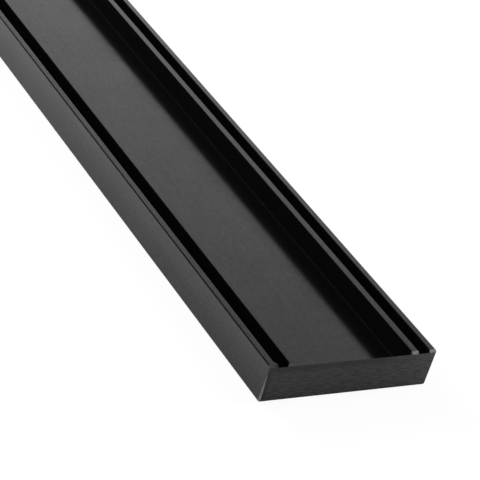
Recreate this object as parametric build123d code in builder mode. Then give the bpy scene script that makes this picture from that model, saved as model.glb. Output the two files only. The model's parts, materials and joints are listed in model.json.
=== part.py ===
from build123d import *
import os

# Channel drain for a tiled floor: a channel with a tray for a strip of tile resting in it.
# X is across the drain, Y along it and Z up. The origin is on the underside, below the middle.
# All sizes are in millimetres.

# Overall size
overall_length = 600.0
channel_width = 100.0

# Channel section, with the way left for water between its floor and the tray
side_wall = 3.9
channel_floor = 2.0
water_way = 5.5
top_corner_radius = 0.6
bottom_corner_radius = 0.6
channel_root_radius = 1.0
lip_radius = 0.3

# Outlet in the channel floor: the floor left on each side of it, up to the side walls
outlet_side_margin = 6.1

# End plates
plate_thickness = 1.5
plate_edge_radius = 0.5
land_height = 1.15
land_slope_drop = 1.05
land_slope_run = 1.35

# Wear on the near plate: a bevel ground on its left upright corner, wider towards the bottom, and
# a rounder lower right corner
corner_bevel_foot = 1.0
corner_bevel_top = 0.1
worn_corner_radius = 1.2

# Tile tray, which sits a little to the right of the middle
drain_gap = 7.5
tray_offset = 0.4
tray_wall = 4.1
tray_depth = 12.0
tray_floor = 2.0
tray_root_radius = 0.8
tray_bottom_radius = 1.0
tray_end_play = 1.0

# Tray supports
support_length = 14.0
support_web = 1.8
support_leg = 5.0
support_arches = 3
arch_radius = 1.5
horn_thickness = 2.0
horn_height = 4.0
horn_radius = 0.6
support_side_play = 0.4
tray_side_play = 0.3
supports_each_side = 3
support_end_inset = 24.0

# Outlet strainer
strainer_sheet = 1.2
strainer_overlap = 4.0
strainer_rise = 1.6
strainer_slope_run = 2.4
strainer_edge_play = 1.0
strainer_hole = 6.0
strainer_ring_pitch = 9.5
strainer_rings = 3

# Sizes that follow from the ones above
inner_width = channel_width - 2 * side_wall
tray_width = inner_width - 2 * drain_gap
tray_inner_width = tray_width - 2 * tray_wall
tray_underside = channel_floor + water_way
channel_height = tray_underside + tray_floor + tray_depth
outlet_diameter = inner_width - 2 * outlet_side_margin
channel_length = overall_length - 2 * plate_thickness
tray_length = channel_length - tray_end_play
strainer_radius = outlet_diameter / 2 + strainer_overlap
first_support = strainer_radius + strainer_edge_play + support_length / 2
last_support = channel_length / 2 - support_end_inset
support_pitch = (last_support - first_support) / (supports_each_side - 1)

os.makedirs("parts", exist_ok=True)

# Channel body: an extrusion of U section, with the outlet cut in its floor. Rounding a corner gives
# a sketch new points, so the points are looked up again for each rounding.
with BuildPart() as channel_body:
    with BuildSketch(Plane.XZ) as channel_section:
        Rectangle(channel_width, channel_height, align=(Align.CENTER, Align.MIN))
        with Locations((0, channel_floor)):
            Rectangle(inner_width, channel_height, align=(Align.CENTER, Align.MIN), mode=Mode.SUBTRACT)
        fillet(channel_section.vertices().group_by(Axis.Y)[1], channel_root_radius)
        fillet(channel_section.vertices().group_by(Axis.Y)[0], bottom_corner_radius)
        rim_points = channel_section.vertices().group_by(Axis.Y)[-1].sort_by(Axis.X)
        fillet([rim_points[0], rim_points[-1]], top_corner_radius)
        rim_points = channel_section.vertices().group_by(Axis.Y)[-1].sort_by(Axis.X)
        fillet(rim_points[1:-1], lip_radius)
    extrude(amount=channel_length / 2, both=True)
    with Locations((0, 0, channel_floor)):
        Hole(outlet_diameter / 2, depth=channel_floor)
channel_body.part.label = "channel_body"
export_step(channel_body.part, "parts/channel_body.step")

# End plates: the channel's outline, welded across its end. The top edge is cut down between four
# lands, one in line with each wall. The cut-downs fall towards the inside, so that the water runs
# in, and the lands slope towards the outside.
tray_left = tray_offset - tray_width / 2
tray_right = tray_offset + tray_width / 2
cut_downs = (
    (-inner_width / 2, tray_left),
    (tray_left + tray_wall, tray_right - tray_wall),
    (tray_right, inner_width / 2),
)

for end_name, side in (("near", -1), ("far", 1)):
    outer_y = side * overall_length / 2
    outside = Plane(origin=(0, outer_y, 0), x_dir=(-side, 0, 0), z_dir=(0, side, 0))
    with BuildPart() as end_plate:
        with BuildSketch(outside) as outline:
            Rectangle(channel_width, channel_height, align=(Align.CENTER, Align.MIN))
            fillet(outline.vertices().group_by(Axis.Y)[-1], top_corner_radius)
            left_foot = outline.vertices().group_by(Axis.Y)[0].sort_by(Axis.X)[0]
            fillet(left_foot, bottom_corner_radius)
            right_foot = outline.vertices().group_by(Axis.Y)[0].sort_by(Axis.X)[-1]
            fillet(right_foot, worn_corner_radius if end_name == "near" else bottom_corner_radius)
        extrude(amount=-plate_thickness)
        outer_face = end_plate.faces().sort_by(Axis((0, 0, 0), (0, side, 0)))[-1]
        fillet(outer_face.edges(), plate_edge_radius)
        for cut_left, cut_right in cut_downs:
            with BuildSketch(Plane.YZ.offset(cut_left)):
                with BuildLine():
                    Polyline(
                        (outer_y, channel_height - land_height),
                        (outer_y - side * plate_thickness, channel_height - land_height - plate_thickness),
                        (outer_y - side * plate_thickness, channel_height),
                        (outer_y, channel_height),
                        close=True,
                    )
                make_face()
            extrude(amount=cut_right - cut_left, mode=Mode.SUBTRACT)
        with BuildSketch(Plane.YZ) as land_slope:
            with BuildLine():
                Polyline(
                    (outer_y, channel_height - land_slope_drop),
                    (outer_y, channel_height),
                    (outer_y - side * land_slope_run, channel_height),
                    close=True,
                )
            make_face()
        extrude(amount=channel_width / 2, both=True, mode=Mode.SUBTRACT)
        if end_name == "near":
            for level, bevel in ((0, corner_bevel_foot), (channel_height, corner_bevel_top)):
                with BuildSketch(Plane.XY.offset(level)):
                    with BuildLine():
                        Polyline(
                            (-channel_width / 2, outer_y),
                            (-channel_width / 2 + bevel, outer_y),
                            (-channel_width / 2, outer_y + bevel),
                            close=True,
                        )
                    make_face()
            loft(mode=Mode.SUBTRACT)
    end_plate.part.label = "end_plate_" + end_name
    export_step(end_plate.part, "parts/end_plate_" + end_name + ".step")

# Tile tray: an extrusion of U section, flush with the rims and pushed up against the near plate
tray_start = channel_length / 2
with BuildPart() as tile_tray:
    with BuildSketch(Plane.XZ.offset(tray_start)) as tray_section:
        with Locations((tray_offset, tray_underside)):
            Rectangle(tray_width, tray_floor + tray_depth, align=(Align.CENTER, Align.MIN))
        with Locations((tray_offset, tray_underside + tray_floor)):
            Rectangle(
                tray_inner_width, channel_height, align=(Align.CENTER, Align.MIN), mode=Mode.SUBTRACT
            )
        fillet(tray_section.vertices().group_by(Axis.Y)[1], tray_root_radius)
        fillet(tray_section.vertices().group_by(Axis.Y)[0], tray_bottom_radius)
        fillet(tray_section.vertices().group_by(Axis.Y)[-1], lip_radius)
    extrude(amount=-tray_length)
tile_tray.part.label = "tile_tray"
export_step(tile_tray.part, "parts/tile_tray.step")

# Tray supports: saddles across the channel floor, arched to let water through. Two horns on each
# stand beside the tray and keep it in its place.
support_width = inner_width - 2 * support_side_play
arch_width = (support_width - (support_arches + 1) * support_leg) / support_arches
arch_height = water_way - support_web
horn_reach = tray_width / 2 + tray_side_play + horn_thickness / 2
horn_places = [(tray_offset + side * horn_reach, tray_underside) for side in (-1, 1)]
far_places = [first_support + step * support_pitch for step in range(supports_each_side)]
support_places = [-place for place in reversed(far_places)] + far_places

for number, support_y in enumerate(support_places, start=1):
    with BuildPart() as tray_support:
        with BuildSketch(Plane.XZ.offset(-support_y)) as saddle:
            with Locations((0, channel_floor)):
                Rectangle(support_width, water_way, align=(Align.CENTER, Align.MIN))
            chamfer(saddle.vertices().group_by(Axis.Y)[0], channel_root_radius)
            with Locations(*horn_places):
                Rectangle(horn_thickness, horn_height, align=(Align.CENTER, Align.MIN))
            fillet(saddle.vertices().group_by(Axis.Y)[-1], horn_radius)
            with BuildSketch(mode=Mode.PRIVATE) as arch:
                with Locations((0, channel_floor)):
                    Rectangle(arch_width, arch_height, align=(Align.CENTER, Align.MIN))
                fillet(arch.vertices().group_by(Axis.Y)[-1], arch_radius)
            with GridLocations(arch_width + support_leg, 1, support_arches, 1):
                add(arch.sketch, mode=Mode.SUBTRACT)
        extrude(amount=support_length / 2, both=True)
    tray_support.part.label = f"tray_support_{number}"
    export_step(tray_support.part, f"parts/tray_support_{number}.step")

# Outlet strainer: a pressed disc lying over the outlet, with a flat flange and a raised,
# perforated middle
plateau_radius = outlet_diameter / 2 - strainer_slope_run
with BuildPart() as outlet_strainer:
    with BuildSketch(Plane.XZ) as strainer_profile:
        with BuildLine():
            Polyline(
                (0, channel_floor + strainer_rise),
                (plateau_radius, channel_floor + strainer_rise),
                (outlet_diameter / 2, channel_floor),
                (strainer_radius, channel_floor),
                (strainer_radius, channel_floor + strainer_sheet),
                (outlet_diameter / 2, channel_floor + strainer_sheet),
                (plateau_radius, channel_floor + strainer_rise + strainer_sheet),
                (0, channel_floor + strainer_rise + strainer_sheet),
                close=True,
            )
        make_face()
    revolve(axis=Axis.Z)
    top_level = channel_floor + strainer_rise + strainer_sheet
    with Locations((0, 0, top_level)):
        Hole(strainer_hole / 2, depth=strainer_sheet)
        for ring in range(1, strainer_rings + 1):
            with PolarLocations(ring * strainer_ring_pitch, 6 * ring):
                Hole(strainer_hole / 2, depth=strainer_sheet)
outlet_strainer.part.label = "outlet_strainer"
export_step(outlet_strainer.part, "parts/outlet_strainer.step")
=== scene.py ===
# %% [markdown]
# # A channel drain in black anodised aluminium
#
# This is a slim channel drain: a long tray for a strip of floor tile, set in a channel that carries
# the water away. Its shapes come ready made as a frame of parts in metres, so this lesson is about
# finish and light: how black metal is made to look like metal when nearly all that it shows is a
# reflection of the room around it.

# %% Load the drain
import json
import math
import bpy
from mathutils import Matrix, Vector


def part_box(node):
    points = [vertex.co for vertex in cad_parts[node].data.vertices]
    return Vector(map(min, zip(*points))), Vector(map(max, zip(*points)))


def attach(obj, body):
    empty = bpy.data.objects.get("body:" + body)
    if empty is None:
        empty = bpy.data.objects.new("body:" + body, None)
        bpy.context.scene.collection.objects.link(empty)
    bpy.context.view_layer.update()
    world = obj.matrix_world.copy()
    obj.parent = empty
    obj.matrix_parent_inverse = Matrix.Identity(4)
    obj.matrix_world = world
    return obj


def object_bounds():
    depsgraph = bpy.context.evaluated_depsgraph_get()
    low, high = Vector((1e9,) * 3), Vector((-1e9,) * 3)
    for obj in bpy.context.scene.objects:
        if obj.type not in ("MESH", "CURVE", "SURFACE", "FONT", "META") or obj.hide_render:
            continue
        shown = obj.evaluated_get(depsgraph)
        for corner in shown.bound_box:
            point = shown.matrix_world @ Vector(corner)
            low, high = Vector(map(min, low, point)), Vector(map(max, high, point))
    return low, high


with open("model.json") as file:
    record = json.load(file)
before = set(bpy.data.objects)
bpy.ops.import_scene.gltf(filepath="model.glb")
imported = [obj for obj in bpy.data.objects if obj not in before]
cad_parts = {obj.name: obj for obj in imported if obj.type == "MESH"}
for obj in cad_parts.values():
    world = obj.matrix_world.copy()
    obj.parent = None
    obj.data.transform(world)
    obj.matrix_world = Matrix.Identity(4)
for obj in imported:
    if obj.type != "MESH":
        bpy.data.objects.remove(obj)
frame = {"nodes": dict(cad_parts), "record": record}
drain_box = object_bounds()
MM = 0.001
print("parts:", sorted(frame["nodes"]))
print("box of the drain in mm:", [[round(v / MM, 2) for v in corner] for corner in drain_box])

# %% [markdown]
# ## Sizes read from the parts
#
# The finishes follow the drain: the grain runs along it, and the wear sits on its ends and corners.
# The places could be typed in as numbers, but then they would be wrong as soon as the drain got
# longer. Here they are read from the boxes of the parts.

# %% Read the sizes
body_low, body_high = (Vector(corner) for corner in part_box("channel_body"))
plate_low, plate_high = (Vector(corner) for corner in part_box("end_plate_near"))
tray_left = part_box("tile_tray")[0][0]
half_width = plate_high.x
near_end = plate_low.y
far_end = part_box("end_plate_far")[1][1]
top_level = plate_high.z
print(f"width {2 * half_width / MM:.1f} mm, height {top_level / MM:.1f} mm")
print(f"length {(far_end - near_end) / MM:.1f} mm")

# %% [markdown]
# ## Small helpers for node trees
#
# A material is a tree of nodes. It could be wired by hand in the editor. In a script a few short
# helpers keep it readable: one adds a node and fills in its values, one does arithmetic, and one
# turns a range of values into another.

# %% Node helpers
def add_node(tree, kind, label="", **values):
    """A node of this kind, with its settings and its unlinked inputs filled in by name."""
    node = tree.nodes.new(kind)
    node.label = label
    for name, value in values.items():
        socket = name.replace("_", " ").title()
        if socket in node.inputs:
            node.inputs[socket].default_value = value
        else:
            setattr(node, name, value)
    return node


def fill(tree, socket, value):
    """Puts a value into a socket, or links another node's output to it."""
    if isinstance(value, bpy.types.NodeSocket):
        tree.links.new(value, socket)
    else:
        socket.default_value = value


def math_node(tree, operation, first, second=0.5, label=""):
    """The output of one arithmetic step."""
    node = add_node(tree, "ShaderNodeMath", label, operation=operation)
    fill(tree, node.inputs[0], first)
    fill(tree, node.inputs[1], second)
    return node.outputs[0]


def ramp_between(tree, value, low, high, to_low=0.0, to_high=1.0):
    """Maps low..high smoothly to to_low..to_high, and holds the ends."""
    node = add_node(tree, "ShaderNodeMapRange", interpolation_type="SMOOTHSTEP")
    fill(tree, node.inputs["Value"], value)
    fill(tree, node.inputs["From Min"], low)
    fill(tree, node.inputs["From Max"], high)
    fill(tree, node.inputs["To Min"], to_low)
    fill(tree, node.inputs["To Max"], to_high)
    return node.outputs["Result"]


print("node helpers ready")

# %% [markdown]
# ## Small helpers for places and finishes
#
# Wear sits in certain places and on faces that lean a certain way, so the materials often ask where a
# point is and which way it faces. And every finish ends in the same way: a colour mixed from two, a
# bump, and the links to the shader. These steps could be repeated in each material, but then a
# mistake would have to be found four times.

# %% Place and finish helpers
def object_place(tree):
    """The point on the drain, in metres from its origin."""
    return tree.nodes.new("ShaderNodeTexCoord").outputs["Object"]


def split(tree, vector, label):
    """The outputs X, Y and Z of a vector."""
    node = add_node(tree, "ShaderNodeSeparateXYZ", label)
    fill(tree, node.inputs[0], vector)
    return node.outputs


def facing_and_place(tree):
    """The way a point faces and where it is, each as X, Y and Z."""
    normal = tree.nodes.new("ShaderNodeNewGeometry").outputs["Normal"]
    return split(tree, normal, "way it faces"), split(tree, object_place(tree), "place")


def grey(level, blue=1.0):
    """A grey, with its blue made a little stronger or weaker."""
    return (level, level, blue * level, 1.0)


def colour_mix(tree, label, mask, first, second):
    """The first colour where the mask is 0 and the second where it is 1."""
    node = add_node(tree, "ShaderNodeMix", label, data_type="RGBA")
    fill(tree, node.inputs["Factor"], mask)
    fill(tree, node.inputs["A"], first)
    fill(tree, node.inputs["B"], second)
    return node.outputs["Result"]


def bump_node(tree, label, height, strength, distance):
    """A bump node over this height. Its normal output feeds the shader."""
    node = add_node(tree, "ShaderNodeBump", label, strength=strength, distance=distance)
    fill(tree, node.inputs["Height"], height)
    return node


def dress_shader(tree, shader, colour, roughness, bump):
    """Links the three things that change over every finish."""
    tree.links.new(colour, shader.inputs["Base Color"])
    tree.links.new(roughness, shader.inputs["Roughness"])
    tree.links.new(bump.outputs["Normal"], shader.inputs["Normal"])


print("place and finish helpers ready")

# %% [markdown]
# ## Small helpers for groups and materials
#
# An effect that several finishes share is built once, as a node group with named sockets, and placed
# in each material with its own values. Copying its nodes into every material would also work, and
# would drift apart with the first change.

# %% Group and material helpers
def new_group(name, inputs, outputs):
    """An empty shader node group with named sockets. Returns the tree and its two end nodes."""
    tree = bpy.data.node_groups.new(name, "ShaderNodeTree")
    for socket, kind, default in inputs:
        made = tree.interface.new_socket(socket, in_out="INPUT", socket_type=kind)
        made.default_value = default
    for socket in outputs:
        tree.interface.new_socket(socket, in_out="OUTPUT", socket_type="NodeSocketFloat")
    start = tree.nodes.new("NodeGroupInput")
    end = tree.nodes.new("NodeGroupOutput")
    return tree, start, end


def use_group(tree, group, **values):
    """Places a node group in a material with its own values. Returns its outputs."""
    node = tree.nodes.new("ShaderNodeGroup")
    node.node_tree = group
    for name, value in values.items():
        fill(tree, node.inputs[name.replace("_", " ").title()], value)
    return node.outputs


def empty_material(name):
    """A material with nothing in its tree but the output. Returns all three."""
    material = bpy.data.materials.new(name)
    material.use_nodes = True
    tree = material.node_tree
    tree.nodes.clear()
    output = tree.nodes.new("ShaderNodeOutputMaterial")
    return material, tree, output


def new_material(name):
    """A material with a Principled shader. Returns it, its tree and the shader."""
    material, tree, output = empty_material(name)
    shader = tree.nodes.new("ShaderNodeBsdfPrincipled")
    tree.links.new(shader.outputs["BSDF"], output.inputs["Surface"])
    return material, tree, shader


print("group and material helpers ready")

# %% [markdown]
# ## Grain
#
# An extrusion carries faint lines along its length from the die, and a plate that was finished on a
# belt carries lines across it. Both are the same thing: scratches far longer than they are wide. One
# could paint them, or use a wave pattern, which looks too even. Here one node group stretches noise
# along an axis, and each metal places it with its own stretch and contrast. It puts out the plain
# noise as a height, and the same noise with more contrast as lines.

# %% Grain group
NOISE_MIDDLE = 0.5
GRAIN_DETAIL = 3.0
GRAIN_ROUGHNESS = 0.6


def build_grain():
    tree, start, end = new_group(
        "stretched grain",
        [("Stretch", "NodeSocketVector", (1000.0, 20.0, 1000.0)), ("Contrast", "NodeSocketFloat", 1.0)],
        ["Lines", "Height"],
    )
    stretch = add_node(tree, "ShaderNodeVectorMath", "stretch", operation="MULTIPLY")
    fill(tree, stretch.inputs[0], object_place(tree))
    fill(tree, stretch.inputs[1], start.outputs["Stretch"])
    noise = add_node(
        tree, "ShaderNodeTexNoise", "scratches", scale=1.0, detail=GRAIN_DETAIL, roughness=GRAIN_ROUGHNESS
    )
    fill(tree, noise.inputs["Vector"], stretch.outputs[0])
    centred = math_node(tree, "SUBTRACT", noise.outputs["Fac"], NOISE_MIDDLE)
    stronger = math_node(tree, "MULTIPLY", centred, start.outputs["Contrast"])
    tree.links.new(math_node(tree, "ADD", stronger, NOISE_MIDDLE), end.inputs["Lines"])
    tree.links.new(noise.outputs["Fac"], end.inputs["Height"])
    return tree


grain_group = build_grain()
print("group:", grain_group.name)

# %% [markdown]
# ## Handling
#
# Satin black metal never looks quite even: handling and the anodising bath leave soft patches that
# are a little duller. A picture of smudges would be one way. Broad noise that shifts the roughness,
# and the colour with it, is enough and stays subtle. Every finish on the drain uses it, so it is a
# group too.

# %% Handling group
PATCH_DETAIL = 4.0
PATCH_ROUGHNESS = 0.55
PATCH_EDGE = (0.35, 0.65)


def build_handling():
    tree, start, end = new_group(
        "handling",
        [
            ("Patch Size", "NodeSocketFloat", 0.05),
            ("Roughness", "NodeSocketFloat", 0.4),
            ("Spread", "NodeSocketFloat", 0.05),
        ],
        ["Roughness", "Patches"],
    )
    noise = add_node(
        tree, "ShaderNodeTexNoise", "patches", detail=PATCH_DETAIL, roughness=PATCH_ROUGHNESS
    )
    fill(tree, noise.inputs["Vector"], object_place(tree))
    fill(tree, noise.inputs["Scale"], math_node(tree, "DIVIDE", 1.0, start.outputs["Patch Size"]))
    patches = ramp_between(tree, noise.outputs["Fac"], *PATCH_EDGE)
    centred = math_node(tree, "SUBTRACT", patches, NOISE_MIDDLE)
    swing = math_node(tree, "MULTIPLY", centred, start.outputs["Spread"])
    tree.links.new(math_node(tree, "ADD", swing, start.outputs["Roughness"]), end.inputs["Roughness"])
    tree.links.new(patches, end.inputs["Patches"])
    return tree


handling_group = build_handling()
print("group:", handling_group.name)

# %% [markdown]
# ## Softened outer edges
#
# The long outer edges of the extrusion roll over a little more softly than the parts are cut. More
# faces would do it, but the parts stay as they are. A Bevel node only bends the normals near an edge:
# widely on the outer sides, barely on the rims, and not at all at the ends, where the edges run into
# the welded plates.

# %% Softened edges
TOP_ROUNDING = 0.3 * MM
SIDE_ROUNDING = 1.5 * MM
SIDE_DEPTH = 1.0 * MM
SIDEWAYS = (0.5, 0.9)
ROUNDING_ENDS = (2.0 * MM, 0.7 * MM)
BEVEL_SAMPLES = 8


def softened_edges(tree):
    """The normal of a surface whose long outer edges are rounder than its faces are."""
    facing, place = facing_and_place(tree)
    outward = math_node(tree, "MULTIPLY", facing["X"], math_node(tree, "SIGN", place["X"]))
    across = math_node(tree, "ABSOLUTE", place["X"])
    outside = math_node(tree, "GREATER_THAN", across, half_width - SIDE_DEPTH)
    outer_side = math_node(tree, "MULTIPLY", ramp_between(tree, outward, *SIDEWAYS), outside)
    radius = ramp_between(tree, outer_side, 0.0, 1.0, TOP_ROUNDING, SIDE_ROUNDING)
    along = math_node(tree, "ABSOLUTE", place["Y"])
    start, stop = (body_high.y - distance for distance in ROUNDING_ENDS)
    radius = math_node(tree, "MULTIPLY", radius, ramp_between(tree, along, start, stop, 1.0, 0.0))
    bevel = add_node(tree, "ShaderNodeBevel", "softened outer edges", samples=BEVEL_SAMPLES)
    fill(tree, bevel.inputs["Radius"], radius)
    return bevel.outputs["Normal"]


print("outer edges are softened over", SIDE_ROUNDING / MM, "mm and the rims over", TOP_ROUNDING / MM, "mm")

# %% [markdown]
# ## Black anodised extrusion
#
# The channel and the tray are aluminium with a dyed, sealed oxide skin. The skin takes in nearly all
# the light that enters it and mirrors a little at its surface, so the shader is a very dark colour
# with a clear surface of the oxide's own refractive index, not a dark metal. What the eye reads as
# satin is the roughness. The aluminium was etched before it was dyed, which leaves a fine tooth on
# it, and the die leaves faint lines along it. Both are a slight bump. Both also add a trace of metal
# to the mirror, as the patches do, because bump alone is lost from a distance.

# %% Anodised material
OXIDE_INDEX = 1.753
OXIDE_ROUGHNESS = 0.18
OXIDE_SPREAD = 0.03
OXIDE_PATCH = 30 * MM
OXIDE_BLACK = grey(0.0043, 1.03)
OXIDE_WORN = grey(0.0045, 1.03)
DIE_STRETCH = (1300.0, 8.0, 1300.0)
ETCHING_STRETCH = (1100.0, 420.0, 1100.0)
SKIN_CONTRAST = 3.0
DIE_DEPTH = 0.3
SKIN_STRENGTH = 0.20
SKIN_DEPTH = 0.02 * MM
ETCHED = 0.24
DRAWN = 0.10
DULLED = 0.05


def anodised():
    material, tree, shader = new_material("black anodised aluminium")
    handling = use_group(
        tree, handling_group, Patch_Size=OXIDE_PATCH, Roughness=OXIDE_ROUGHNESS, Spread=OXIDE_SPREAD
    )
    die_lines = use_group(tree, grain_group, Stretch=DIE_STRETCH, Contrast=SKIN_CONTRAST)
    etching = use_group(tree, grain_group, Stretch=ETCHING_STRETCH, Contrast=SKIN_CONTRAST)
    colour = colour_mix(tree, "bath colour", handling["Patches"], OXIDE_BLACK, OXIDE_WORN)
    height = math_node(tree, "MULTIPLY", die_lines["Height"], DIE_DEPTH)
    height = math_node(tree, "ADD", height, etching["Height"])
    bump = bump_node(tree, "lines and etching", height, SKIN_STRENGTH, SKIN_DEPTH)
    tree.links.new(softened_edges(tree), bump.inputs["Normal"])
    dress_shader(tree, shader, colour, handling["Roughness"], bump)
    # the etching, the die lines and the dull patches each break the skin's mirror a little
    broken = math_node(tree, "MULTIPLY", handling["Patches"], DULLED)
    for lines, share in ((etching["Lines"], ETCHED), (die_lines["Lines"], DRAWN)):
        broken = math_node(tree, "ADD", broken, ramp_between(tree, lines, 0.0, 1.0, 0.0, share))
    tree.links.new(broken, shader.inputs["Metallic"])
    shader.inputs["IOR"].default_value = OXIDE_INDEX
    return material


anodised_material = anodised()
print("material:", anodised_material.name)

# %% [markdown]
# ## Where the end plates are worn, and where highlights are painted on them
#
# The end plates were ground flush after welding. Where the belt rounded an edge it cut through the
# black, so the small slopes on the lands and the bevel on the near left corner are brighter. The wear
# could be a mask painted by hand. Here it is found from the surface itself: a slope is a place whose
# normal leans. A painted highlight is laid over the wear: the slopes grow brighter towards the right,
# where the light comes from, and the corner bevel is brightest at its foot.

# %% Worn places and painted highlights
LEANING = (0.55, 0.68)
RIGHT_PART = (0.2 * half_width, half_width)
LAND_WEAR_AND_HIGHLIGHT = (0.30, 1.35)
CORNER_WEAR_AND_HIGHLIGHT = (0.46, 0.28)


def worn_and_highlit_places(tree, facing, place):
    """How far the black is worn off, with a painted highlight: the lands' slopes and the corner bevel."""
    outward = math_node(tree, "ABSOLUTE", facing["Y"])
    slope = ramp_between(tree, math_node(tree, "MINIMUM", outward, facing["Z"]), *LEANING)
    # painted highlight: the slopes are made brighter towards the right, where the light comes from
    rubbed = ramp_between(tree, place["X"], *RIGHT_PART, *LAND_WEAR_AND_HIGHLIGHT)
    slope = math_node(tree, "MULTIPLY", slope, rubbed)
    to_the_left = math_node(tree, "MULTIPLY", facing["X"], -1.0)
    corner = ramp_between(tree, math_node(tree, "MINIMUM", to_the_left, outward), *LEANING)
    # painted highlight: the corner bevel is made brightest at its foot
    ground = ramp_between(tree, place["Z"], 0.0, top_level, *CORNER_WEAR_AND_HIGHLIGHT)
    corner = math_node(tree, "MULTIPLY", corner, ground)
    return math_node(tree, "MAXIMUM", slope, corner, "wear and painted highlight")


print("right-hand slopes are rubbed from", round(RIGHT_PART[0] / MM, 1), "mm right of the middle")

# %% [markdown]
# ## Where the end plates are scratched, and painted lighter to the right
#
# The brushing runs crosswise, and its scratches are paler than the black. They start a little way in
# from the left corner and stop short of the top edge, least so on the right, so the face is darker
# there. Towards the right they are laid on more heavily as painted light, since the light comes from
# that side. One even layer of scratches would be simpler, and would look like a sticker. Three soft
# masks over the grain keep it alive.

# %% Brush strokes and painted light
BRUSHED_TO = (0.70 * top_level, 0.88 * top_level)
CLEAN_CORNER = (1.5 * MM, 4.5 * MM)
STROKE_WEIGHT_AND_LIGHT = (0.7, 1.0)


def strokes_and_painted_light(tree, lines, place):
    """How strongly each point is scratched, weighted up to the right as painted light."""
    reach = ramp_between(tree, place["Z"], *BRUSHED_TO, 1.0, 0.0)
    reach = math_node(tree, "MAXIMUM", reach, ramp_between(tree, place["X"], 0.0, half_width))
    strokes = math_node(tree, "MULTIPLY", ramp_between(tree, lines, 0.0, 1.0), reach)
    from_corner = math_node(tree, "ADD", place["X"], half_width)
    strokes = math_node(tree, "MULTIPLY", strokes, ramp_between(tree, from_corner, *CLEAN_CORNER))
    # painted light: the pale scratches are weighted up towards the right, where the light comes from
    painted_light_to_the_right = ramp_between(tree, place["X"], *RIGHT_PART, *STROKE_WEIGHT_AND_LIGHT)
    return math_node(tree, "MULTIPLY", strokes, painted_light_to_the_right)


print("on the left the scratches stop", round((top_level - BRUSHED_TO[1]) / MM, 1), "mm below the top")

# %% [markdown]
# ## Brushed end plates
#
# The plates are the same black, but rougher, and open where they were brushed. Three colours are laid
# over each other: the scratched black of the face, which is painted lighter to the right, the plain
# dull black of the sides, which were never brushed, and bare metal where the edges are worn, with a
# painted highlight laid over it. Only the bare metal gets a share of metallic reflection. The grain
# decides how bare a worn place is, so that its edge frays as it does in life.

# %% Brushed material
PLATE_INDEX = 1.504
PLATE_ROUGHNESS = 0.50
PLATE_SPREAD = 0.06
PLATE_PATCH = 20 * MM
PLATE_DARK = grey(0.0002)
PLATE_SCRATCH = grey(0.0559, 1.02)
PLATE_SIDE = grey(0.035)
BARE_METAL_AND_HIGHLIGHT = grey(0.55, 1.02)
BARE_AND_HIGHLIGHT_SHINE = 0.30
BELT_STRETCH = (200.0, 200.0, 1500.0)
BELT_CONTRAST = 3.2
BELT_STRENGTH = 0.5
BELT_DEPTH = 0.03 * MM
FRAYED = (0.1, 0.7)
LEAST_BARE = 0.5
SIDE_FACES = (0.85, 0.95)


def brushed():
    material, tree, shader = new_material("black aluminium, ground and brushed")
    handling = use_group(
        tree, handling_group, Patch_Size=PLATE_PATCH, Roughness=PLATE_ROUGHNESS, Spread=PLATE_SPREAD
    )
    grain = use_group(tree, grain_group, Stretch=BELT_STRETCH, Contrast=BELT_CONTRAST)
    facing, place = facing_and_place(tree)
    strokes = strokes_and_painted_light(tree, grain["Lines"], place)
    face = colour_mix(tree, "scratched black", strokes, PLATE_DARK, PLATE_SCRATCH)
    sideways = ramp_between(tree, math_node(tree, "ABSOLUTE", facing["X"]), *SIDE_FACES)
    black = colour_mix(tree, "unbrushed sides", sideways, face, PLATE_SIDE)
    frayed = ramp_between(tree, grain["Lines"], *FRAYED, LEAST_BARE, 1.0)
    # bare metal where the edges are worn, with a painted highlight in the same mask
    bare_and_highlit = math_node(tree, "MULTIPLY", worn_and_highlit_places(tree, facing, place), frayed)
    colour = colour_mix(tree, "bare metal and painted highlight", bare_and_highlit, black, BARE_METAL_AND_HIGHLIGHT)
    bump = bump_node(tree, "brushing", grain["Height"], BELT_STRENGTH, BELT_DEPTH)
    dress_shader(tree, shader, colour, handling["Roughness"], bump)
    tree.links.new(math_node(tree, "MULTIPLY", bare_and_highlit, BARE_AND_HIGHLIGHT_SHINE), shader.inputs["Metallic"])
    shader.inputs["IOR"].default_value = PLATE_INDEX
    return material


brushed_material = brushed()
print("material:", brushed_material.name)

# %% [markdown]
# ## Moulded supports
#
# The saddles that hold the tray up are moulded in black plastic, with the fine matt texture of a
# spark-eroded tool. Displacement would be wasted on something that is seen through a slot, so a
# small bump is enough.

# %% Plastic material
PLASTIC_BLACK = grey(0.010)
PLASTIC_DUSTY = grey(0.018)
PLASTIC_ROUGHNESS = 0.62
PLASTIC_SPREAD = 0.06
PLASTIC_PATCH = 15 * MM
TEXTURE_SCALE = 2500.0
TEXTURE_DETAIL = 1.0
TEXTURE_STRENGTH = 0.2
TEXTURE_DEPTH = 0.04 * MM


def moulded():
    material, tree, shader = new_material("matt black plastic")
    handling = use_group(
        tree, handling_group, Patch_Size=PLASTIC_PATCH, Roughness=PLASTIC_ROUGHNESS, Spread=PLASTIC_SPREAD
    )
    texture = add_node(
        tree, "ShaderNodeTexNoise", "tool texture", scale=TEXTURE_SCALE, detail=TEXTURE_DETAIL
    )
    fill(tree, texture.inputs["Vector"], object_place(tree))
    bump = bump_node(tree, "moulded skin", texture.outputs["Fac"], TEXTURE_STRENGTH, TEXTURE_DEPTH)
    colour = colour_mix(tree, "dusting", handling["Patches"], PLASTIC_BLACK, PLASTIC_DUSTY)
    dress_shader(tree, shader, colour, handling["Roughness"], bump)
    return material


plastic_material = moulded()
print("material:", plastic_material.name)

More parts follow.
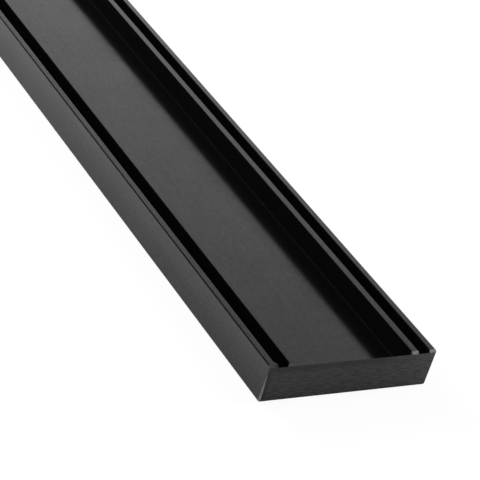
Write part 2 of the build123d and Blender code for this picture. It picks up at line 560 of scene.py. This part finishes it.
# %% [markdown]
# ## Strainer
#
# The outlet strainer is stamped from stainless sheet that was brushed before it was cut. It is a
# real metal, so its colour tints the reflection and the shader is fully metallic. A grey paint with
# a strong gloss would look like plastic next to it.

# %% Steel material
STEEL_DARK = grey(0.50, 0.98)
STEEL_LIGHT = grey(0.66, 0.97)
STEEL_ROUGHNESS = 0.33
STEEL_SPREAD = 0.08
STEEL_PATCH = 12 * MM
STEEL_STRETCH = (40.0, 3000.0, 3000.0)
STEEL_CONTRAST = 1.5
STEEL_STRENGTH = 0.15
STEEL_DEPTH = 0.02 * MM


def stamped():
    material, tree, shader = new_material("brushed stainless steel")
    handling = use_group(
        tree, handling_group, Patch_Size=STEEL_PATCH, Roughness=STEEL_ROUGHNESS, Spread=STEEL_SPREAD
    )
    grain = use_group(tree, grain_group, Stretch=STEEL_STRETCH, Contrast=STEEL_CONTRAST)
    colour = colour_mix(tree, "brushed sheet", grain["Lines"], STEEL_DARK, STEEL_LIGHT)
    bump = bump_node(tree, "brushing", grain["Height"], STEEL_STRENGTH, STEEL_DEPTH)
    dress_shader(tree, shader, colour, handling["Roughness"], bump)
    shader.inputs["Metallic"].default_value = 1.0
    return material


steel_material = stamped()
print("material:", steel_material.name)

# %% [markdown]
# ## Dress the parts
#
# Each part says in the frame's record which finish it has. The materials could be assigned one part
# at a time. A table from finish to material does them all, and a part added later is dressed too.

# %% Assign the materials
finishes = {
    "black_anodised": anodised_material,
    "brushed_black": brushed_material,
    "support_plastic": plastic_material,
    "strainer_steel": steel_material,
}
for part in frame["record"]["subparts"]:
    mesh = frame["nodes"][part["node"]].data
    mesh.materials.clear()
    mesh.materials.append(finishes[part["material_slot"]])
    print(part["node"], "->", mesh.materials[0].name)

# %% [markdown]
# ## A wedge of weld metal
#
# Where the near plate was welded on, a little metal was left standing in corners. Such a wedge could
# be painted as a pale spot, but then the slot beside it would still end square. Here it is modelled:
# a block is cut along the slope of the plate's lands and then across the corner with an upright
# plane, and its edges are eased. It is sunk a little into what it sits on, so that no gap shows.

# %% Weld helper
LAND_DROP = 1.05 * MM
LAND_RUN = 1.35 * MM
WELD_SKIN = 0.02 * MM
WELD_EASE = 0.05 * MM
EASE_STEPS = 2
CUT_THRESHOLD = 0.001 * MM
land_slope = ((0.0, near_end, top_level - LAND_DROP - WELD_SKIN), (0.0, -LAND_DROP, LAND_RUN))


def weld(name, low, high, corner_cut, slot):
    """A block from low to high, cut along the lands' slope and along the given upright plane."""
    bpy.ops.object.select_all(action="DESELECT")
    size = Vector(high) - Vector(low)
    bpy.ops.mesh.primitive_cube_add(size=1.0, location=Vector(low) + size / 2, scale=size)
    piece = bpy.context.object
    piece.name = name
    bpy.ops.object.transform_apply(location=True, rotation=True, scale=True)
    bpy.ops.object.mode_set(mode="EDIT")
    for point, direction in (land_slope, corner_cut):
        normal = Vector(direction).normalized()
        bpy.ops.mesh.select_all(action="SELECT")
        bpy.ops.mesh.bisect(
            plane_co=point, plane_no=normal, use_fill=True, clear_outer=True, threshold=CUT_THRESHOLD
        )
    bpy.ops.mesh.select_all(action="SELECT")
    bpy.ops.mesh.normals_make_consistent(inside=False)
    bpy.ops.object.mode_set(mode="OBJECT")
    ease = piece.modifiers.new("eased edges", "BEVEL")
    ease.width = WELD_EASE
    ease.segments = EASE_STEPS
    bpy.ops.object.modifier_apply(modifier=ease.name)
    piece.data.materials.append(finishes[slot])
    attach(piece, "root")
    shape = [round(measure / MM, 2) for measure in piece.dimensions]
    print(name, "has", len(piece.data.polygons), "faces and measures", shape, "mm")


print("the lands slope by", round(math.degrees(math.atan2(LAND_DROP, LAND_RUN)), 1), "degrees")

# %% [markdown]
# ## Welds in the near corners of the left gap
#
# One wedge runs into the gap along the channel wall. A smaller one fills the notch of the plate
# beside the land of the tray's wall. They could be mirror images, but they are not alike on the
# drain: the first was left longer, and the second was brushed along with the plate.

# %% Make the welds
CHANNEL_WALL = 3.9 * MM
WELD_BURIED = 0.4 * MM
WELD_HEIGHT = 4.5 * MM
LONG_WELD_WIDTH = 1.4 * MM
LONG_WELD_REACH = 1.9 * MM
SHORT_WELD_WIDTH = 1.3 * MM

plate_inside = plate_high.y
wall_inside = body_low.x + CHANNEL_WALL
weld_top = top_level - WELD_SKIN
weld_foot = top_level - WELD_HEIGHT
weld_front = near_end + 2 * WELD_SKIN
long_weld_end = plate_inside + LONG_WELD_REACH
weld(
    "weld_at_channel_wall",
    (wall_inside - WELD_BURIED, weld_front, weld_foot),
    (wall_inside + LONG_WELD_WIDTH, long_weld_end, weld_top),
    ((wall_inside, long_weld_end, 0.0), (LONG_WELD_REACH, LONG_WELD_WIDTH, 0.0)),
    "black_anodised",
)
weld(
    "weld_at_tray_wall",
    (tray_left - SHORT_WELD_WIDTH, weld_front, weld_foot),
    (tray_left + WELD_BURIED, plate_inside, weld_top),
    ((tray_left, plate_inside, 0.0), (near_end - plate_inside, SHORT_WELD_WIDTH, 0.0)),
    "brushed_black",
)

# %% [markdown]
# ## Floor
#
# The drain lies on a plain white floor that runs out of the picture. A big lit sheet would have to
# be lit very brightly to look pure white. Instead the camera sees a floor that mostly shines by
# itself, with a share of real, lit white left in it so that the drain's shadow stays. The drain's
# sides mirror the floor beside them, and reflections see only the lit floor: its shadow close to the
# drain is what makes the sides darker towards their feet.

# %% Floor material
SHINE_SEEN = 0.90
SHINE_STRENGTH = 1.03
PAPER_SCALE = 40.0
PAPER_DETAIL = 2.0
PAPER_WHITES = (grey(0.93), grey(0.95))
OPENING_EDGE = 1.0 * MM


def floor_material():
    material, tree, output = empty_material("white floor")
    place = object_place(tree)
    noise = add_node(tree, "ShaderNodeTexNoise", "paper", scale=PAPER_SCALE, detail=PAPER_DETAIL)
    fill(tree, noise.inputs["Vector"], place)
    white = colour_mix(tree, "paper white", noise.outputs["Fac"], *PAPER_WHITES)
    lit = add_node(tree, "ShaderNodeBsdfDiffuse", "lit white")
    tree.links.new(white, lit.inputs["Color"])
    shine = add_node(tree, "ShaderNodeEmission", "white by itself", strength=SHINE_STRENGTH)
    rays = tree.nodes.new("ShaderNodeLightPath").outputs
    top = add_node(tree, "ShaderNodeMixShader", "how much shines")
    fill(tree, top.inputs[0], math_node(tree, "MULTIPLY", rays["Is Camera Ray"], SHINE_SEEN))
    tree.links.new(lit.outputs[0], top.inputs[1])
    tree.links.new(shine.outputs[0], top.inputs[2])
    # the floor is clear from below, and open under the drain to let light reach its underside
    clear = add_node(tree, "ShaderNodeBsdfTransparent", "clear from below")
    spot = split(tree, place, "spot on the floor")
    opening = tree.nodes.new("ShaderNodeNewGeometry").outputs["Backfacing"]
    inside = 1.0
    for axis, edge in (("X", half_width - OPENING_EDGE), ("Y", far_end - OPENING_EDGE)):
        within = math_node(tree, "LESS_THAN", math_node(tree, "ABSOLUTE", spot[axis]), edge)
        inside = math_node(tree, "MULTIPLY", within, inside)
    opening = math_node(tree, "MAXIMUM", opening, inside, "clear here")
    floor_or_clear = add_node(tree, "ShaderNodeMixShader", "floor or clear")
    fill(tree, floor_or_clear.inputs[0], opening)
    tree.links.new(top.outputs[0], floor_or_clear.inputs[1])
    tree.links.new(clear.outputs[0], floor_or_clear.inputs[2])
    tree.links.new(floor_or_clear.outputs[0], output.inputs["Surface"])
    return material


white_floor = floor_material()
print("material:", white_floor.name)

# %% [markdown]
# ## Lay the floor
#
# One large plane is enough. It could touch the drain, but two faces in one plane flicker, so it lies
# a hair below. Seen from underneath it is clear, so that the outlet and its strainer can be looked at.

# %% Make the floor
FLOOR_REACH = 12.0
FLOOR_CLEARANCE = 0.02 * MM

bpy.ops.object.select_all(action="DESELECT")
floor_level = drain_box[0][2] - FLOOR_CLEARANCE
bpy.ops.mesh.primitive_plane_add(size=2 * FLOOR_REACH, location=(0.0, 0.0, floor_level))
floor = bpy.context.object
floor.name = "floor"
floor.data.materials.append(white_floor)
print("floor", 2 * FLOOR_REACH, "m across,", round(FLOOR_CLEARANCE / MM, 3), "mm below the drain")

# %% [markdown]
# ## Room
#
# Black gloss shows the room, so the room matters more than the lamps. On the right of this one hangs
# a panel that starts low, fades slowly with height and is brightest towards the back. The wall in
# front is grey, a patch straight above is lit, so is all that lies below the horizon, which only the
# underside can mirror, and the rest is dark. That is why the tops are grey, why the strip of floor
# along the tray's right wall is black, since it mirrors only that wall, and why a dark line runs
# along the top left edge, which mirrors the dark half. A plain white world would fill every face with
# the same grey. Diffuse light gets its own even fill, because what lights a surface need not be what
# it mirrors.

# %% Build the room
FILL = 0.396
PANEL_EDGE = (16.9, 22.9)
PANEL_FADE = (24.8, 65.7)
PANEL_TURN = (36.4, 68.4)
PANEL_LEVELS = (0.667, 1.575)
PANEL_MIDDLE = 52.0
PANEL_SLANT = 0.087
CEILING_EDGE = (0.88, 0.99)
CEILING_LEVEL = 0.45
BELOW_EDGE = (-0.10, -0.02)
BELOW_LEVEL = 0.45
FRONT_EDGE = (-0.4, -0.1)
FRONT_LEVEL = 0.374
ROOM_DARK = 0.05


def degrees_between(tree, rise, run, label):
    """The angle with this rise over this run, in degrees."""
    angle = math_node(tree, "ARCTAN2", rise, run)
    return math_node(tree, "MULTIPLY", angle, math.degrees(1.0), label)


def room_light(tree, way):
    """How bright the room is in each direction."""
    tilt = degrees_between(tree, way["Z"], way["X"], "height as seen along the drain")
    turn = degrees_between(tree, way["Y"], way["X"], "turn to the back")
    slant = math_node(tree, "MULTIPLY", math_node(tree, "SUBTRACT", turn, PANEL_MIDDLE), PANEL_SLANT)
    height = math_node(tree, "SUBTRACT", tilt, slant, "height on the panel")
    panel = ramp_between(tree, tilt, *PANEL_EDGE)
    panel = math_node(tree, "MULTIPLY", panel, ramp_between(tree, height, *PANEL_FADE, 1.0, 0.0))
    room = math_node(tree, "MULTIPLY", panel, ramp_between(tree, turn, *PANEL_TURN, *PANEL_LEVELS))
    front = ramp_between(tree, way["Y"], *FRONT_EDGE, FRONT_LEVEL, ROOM_DARK)
    ceiling = ramp_between(tree, way["Z"], *CEILING_EDGE, 0.0, CEILING_LEVEL)
    below = ramp_between(tree, way["Z"], *BELOW_EDGE, BELOW_LEVEL, 0.0)
    for light in (front, ceiling, below):
        room = math_node(tree, "MAXIMUM", room, light)
    return room


def build_room():
    world = bpy.data.worlds.new("studio")
    world.use_nodes = True
    tree = world.node_tree
    tree.nodes.clear()
    rays = tree.nodes.new("ShaderNodeLightPath").outputs
    direction = tree.nodes.new("ShaderNodeTexCoord").outputs["Generated"]
    mirrored = math_node(tree, "MAXIMUM", rays["Is Glossy Ray"], rays["Is Transmission Ray"])
    strength = add_node(tree, "ShaderNodeMix", "mirrored or lighting", data_type="FLOAT")
    fill(tree, strength.inputs["Factor"], mirrored)
    fill(tree, strength.inputs["A"], FILL)
    fill(tree, strength.inputs["B"], room_light(tree, split(tree, direction, "direction")))
    # the camera itself sees plain white
    seen = math_node(tree, "MAXIMUM", strength.outputs["Result"], rays["Is Camera Ray"])
    background = add_node(tree, "ShaderNodeBackground", color=grey(1.0))
    fill(tree, background.inputs["Strength"], seen)
    output = tree.nodes.new("ShaderNodeOutputWorld")
    tree.links.new(background.outputs[0], output.inputs["Surface"])
    return world


bpy.context.scene.world = build_room()
print("room:", bpy.context.scene.world.name)

# %% [markdown]
# ## Lamps
#
# The room alone would light the floor evenly. Two softboxes add direction: a large key high on the
# right, a little to the front, and a smaller one low behind on the left. One lamp would leave the
# floor on its far side too dark. Black metal would mirror them as two more bright patches, so
# reflections don't see them.

# %% Place the lamps
def softbox(name, centre, aim, size, share):
    """A square lamp that faces a point and gives a flat white there this share of its brightness."""
    lamp = bpy.data.lights.new(name, "AREA")
    lamp.shape = "SQUARE"
    lamp.size = size
    reach = Vector(centre) - Vector(aim)
    slant = reach.normalized().z
    lamp.energy = share * math.pi ** 2 * reach.length_squared / slant
    holder = bpy.data.objects.new(name, lamp)
    holder.location = centre
    holder.rotation_euler = (-reach).to_track_quat("-Z", "Y").to_euler()
    holder.visible_camera = False
    holder.visible_glossy = False
    bpy.context.scene.collection.objects.link(holder)
    print(name, "energy", round(lamp.energy, 2), "W")


KEY_PLACE = (1.1, -0.2, 1.4)
KEY_AIM = (0.0, -0.1, 0.0)
KEY_SIZE = 1.0
KEY_SHARE = 0.266
BACK_PLACE = (-0.5, 1.0, 0.7)
BACK_AIM = (0.0, 0.1, 0.0)
BACK_SIZE = 0.6
BACK_SHARE = 0.523
softbox("key softbox", KEY_PLACE, KEY_AIM, KEY_SIZE, KEY_SHARE)
softbox("back softbox", BACK_PLACE, BACK_AIM, BACK_SIZE, BACK_SHARE)

# %% [markdown]
# ## Camera
#
# The camera looks down the drain from above its near left corner, through a long lens, and is
# tilted a little so that the drain runs across the picture. Its place was found by fitting the
# drain's own long edges. It could be turned by three angles. Here it is written as a place, the
# direction it looks in and the direction of its right-hand side, which are easier to picture.

# %% Set the camera
CAMERA_PLACE = Vector((-0.53399, -0.88546, 0.51824))
LOOKING = Vector((0.52413, 0.69119, -0.49753)).normalized()
CAMERA_RIGHT = Vector((0.85034, -0.45692, 0.26104)).normalized()
LENS = 142.52
SENSOR = 36.0

camera_data = bpy.data.cameras.new("camera")
camera_data.lens = LENS
camera_data.sensor_width = SENSOR
camera_data.sensor_fit = "HORIZONTAL"
camera = bpy.data.objects.new("camera", camera_data)
camera_up = CAMERA_RIGHT.cross(LOOKING)
turned = Matrix((CAMERA_RIGHT, camera_up, -LOOKING)).transposed()
camera.matrix_world = Matrix.Translation(CAMERA_PLACE) @ turned.to_4x4()
bpy.context.scene.collection.objects.link(camera)
bpy.context.scene.camera = camera
bpy.context.scene.view_settings.view_transform = "Standard"
print("camera is", round((CAMERA_PLACE - Vector((0, near_end, 0))).length, 3), "m from the near end")

# %% [markdown]
# ## Finish
#
# Nothing in this lesson may make the drain larger than its parts, or it would no longer fit where it
# is built in. A view could show that.

# %% Finish
print("the drain is dressed and lit")
